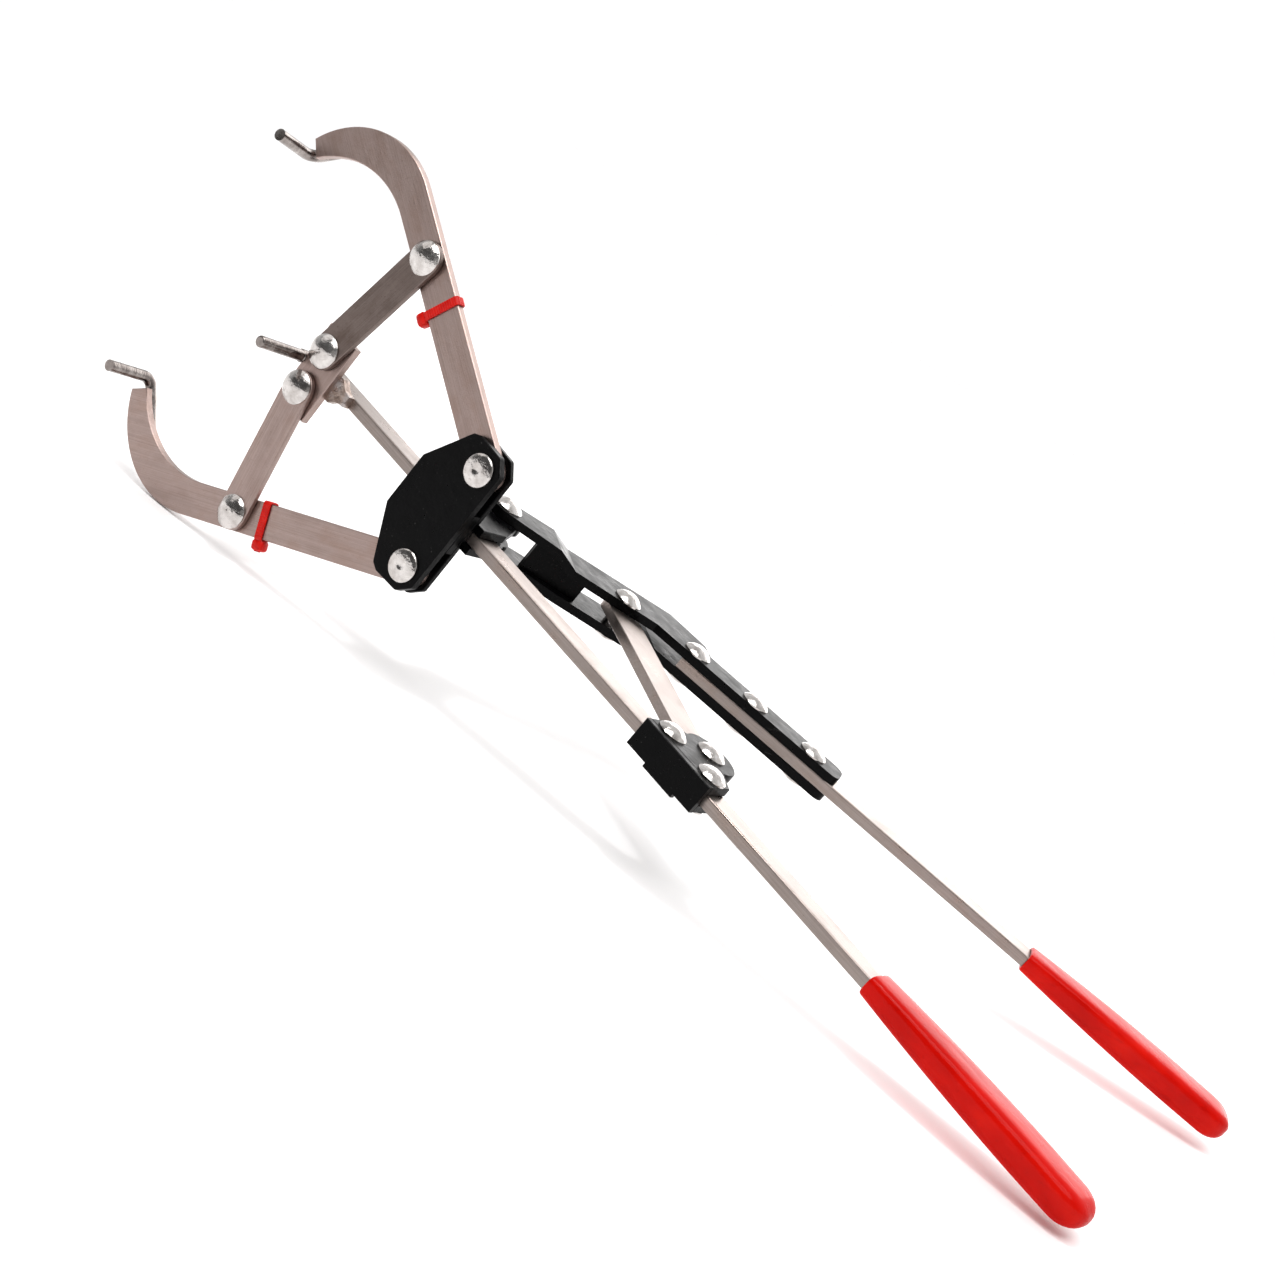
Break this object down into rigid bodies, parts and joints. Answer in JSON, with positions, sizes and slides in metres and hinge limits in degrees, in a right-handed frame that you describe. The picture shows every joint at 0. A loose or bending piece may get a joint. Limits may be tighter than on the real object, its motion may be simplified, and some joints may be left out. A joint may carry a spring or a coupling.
{
  "type": "band spreader pliers",
  "caption": "Long two-handled spreader: squeezing the red grips slides a bracket along the main bar and swings hooked arms with prongs apart to stretch a band.",
  "frame": {"origin": "on the centre prong axis, in the middle of the arm plates", "axes": "+X along the tool toward the prongs, +Y the way the prongs stand, +Z across the tool toward the left arm"},
  "size_m": [0.662, 0.3273, 0.2326],
  "materials": {
    "bar_steel": "ground flat bar, bright",
    "arm_steel": "satin, slightly warm grey",
    "dark_steel": "mill scale, mottled",
    "prong_steel": "dark drawn rod",
    "black_paint": "satin black paint",
    "rivet_steel": "polished domes",
    "red_vinyl": "dipped vinyl, glossy",
    "red_nylon": "moulded nylon"
  },
  "bodies": {
    "base": {"main_bar": "bar_steel", "crossbar": "dark_steel", "centre_prong": "prong_steel", "nose_weld": "dark_steel", "crossbar_rivets": "rivet_steel", "clamp_cheek_upper": "black_paint", "clamp_cheek_lower": "black_paint", "clamp_front_plate": "black_paint", "clamp_rivets": "rivet_steel", "toggle_rear_rivet": "rivet_steel", "main_grip": "red_vinyl"},
    "slider": {"bracket_front_plate": "black_paint", "bracket_rear_plate": "black_paint", "bracket_spacer": "black_paint", "sleeve_cheek_upper": "black_paint", "sleeve_cheek_lower": "black_paint", "sleeve_back_plate": "black_paint", "arm_pivot_rivets": "rivet_steel", "lever_pivot_rivet": "rivet_steel"},
    "arm_left": {"arm_left": "arm_steel", "prong_left": "prong_steel", "tie_left": "red_nylon"},
    "arm_right": {"arm_right": "arm_steel", "prong_right": "prong_steel", "tie_right": "red_nylon"},
    "link_left": {"link_left": "dark_steel", "link_rivet_left": "rivet_steel"},
    "link_right": {"link_right": "arm_steel", "link_rivet_right": "rivet_steel"},
    "lever": {"lever_bar": "bar_steel", "lever_cheek_upper": "black_paint", "lever_cheek_lower": "black_paint", "lever_web": "black_paint", "lever_rivets": "rivet_steel", "toggle_front_rivet": "rivet_steel", "lever_grip": "red_vinyl"},
    "toggle": {"toggle_bar": "bar_steel"}
  },
  "joints": [
    {"name": "lever_hinge", "type": "hinge", "parent": "slider", "child": "lever", "pos_m": [-0.126, -0.046, 0], "axis": [0, 0, 1], "range_deg": [-8, 24]},
    {"name": "bracket_slide", "type": "slide", "parent": "base", "child": "slider", "axis": [-1, 0, 0], "range_m": [-0.0129, 0.0387]},
    {"name": "arm_left_hinge", "type": "hinge", "parent": "slider", "child": "arm_left", "pos_m": [-0.1325, 0, 0.031], "axis": [0, -1, 0], "range_deg": [-6.81, 2.3]},
    {"name": "arm_right_hinge", "type": "hinge", "parent": "slider", "child": "arm_right", "pos_m": [-0.1325, 0, -0.031], "axis": [0, 1, 0], "range_deg": [-6.81, 2.3]},
    {"name": "link_left_hinge", "type": "hinge", "parent": "base", "child": "link_left", "pos_m": [-0.013, 0, 0.012], "axis": [0, -1, 0], "range_deg": [-8.9, 26.59]},
    {"name": "link_right_hinge", "type": "hinge", "parent": "base", "child": "link_right", "pos_m": [-0.013, 0, -0.012], "axis": [0, 1, 0], "range_deg": [-8.9, 26.59]},
    {"name": "toggle_hinge", "type": "hinge", "parent": "lever", "child": "toggle", "pos_m": [-0.18121, -0.10731, 0], "axis": [0, 0, 1], "range_deg": [-32.36, 10.82]}
  ],
  "couplings": [
    {"joint": "bracket_slide", "follows": "lever_hinge", "m_per_rad": 0.09213},
    {"joint": "arm_left_hinge", "follows": "lever_hinge", "ratio": -0.28165},
    {"joint": "arm_right_hinge", "follows": "lever_hinge", "ratio": -0.28165},
    {"joint": "link_left_hinge", "follows": "lever_hinge", "ratio": 1.1059},
    {"joint": "link_right_hinge", "follows": "lever_hinge", "ratio": 1.1059},
    {"joint": "toggle_hinge", "follows": "lever_hinge", "ratio": -1.3462}
  ]
}
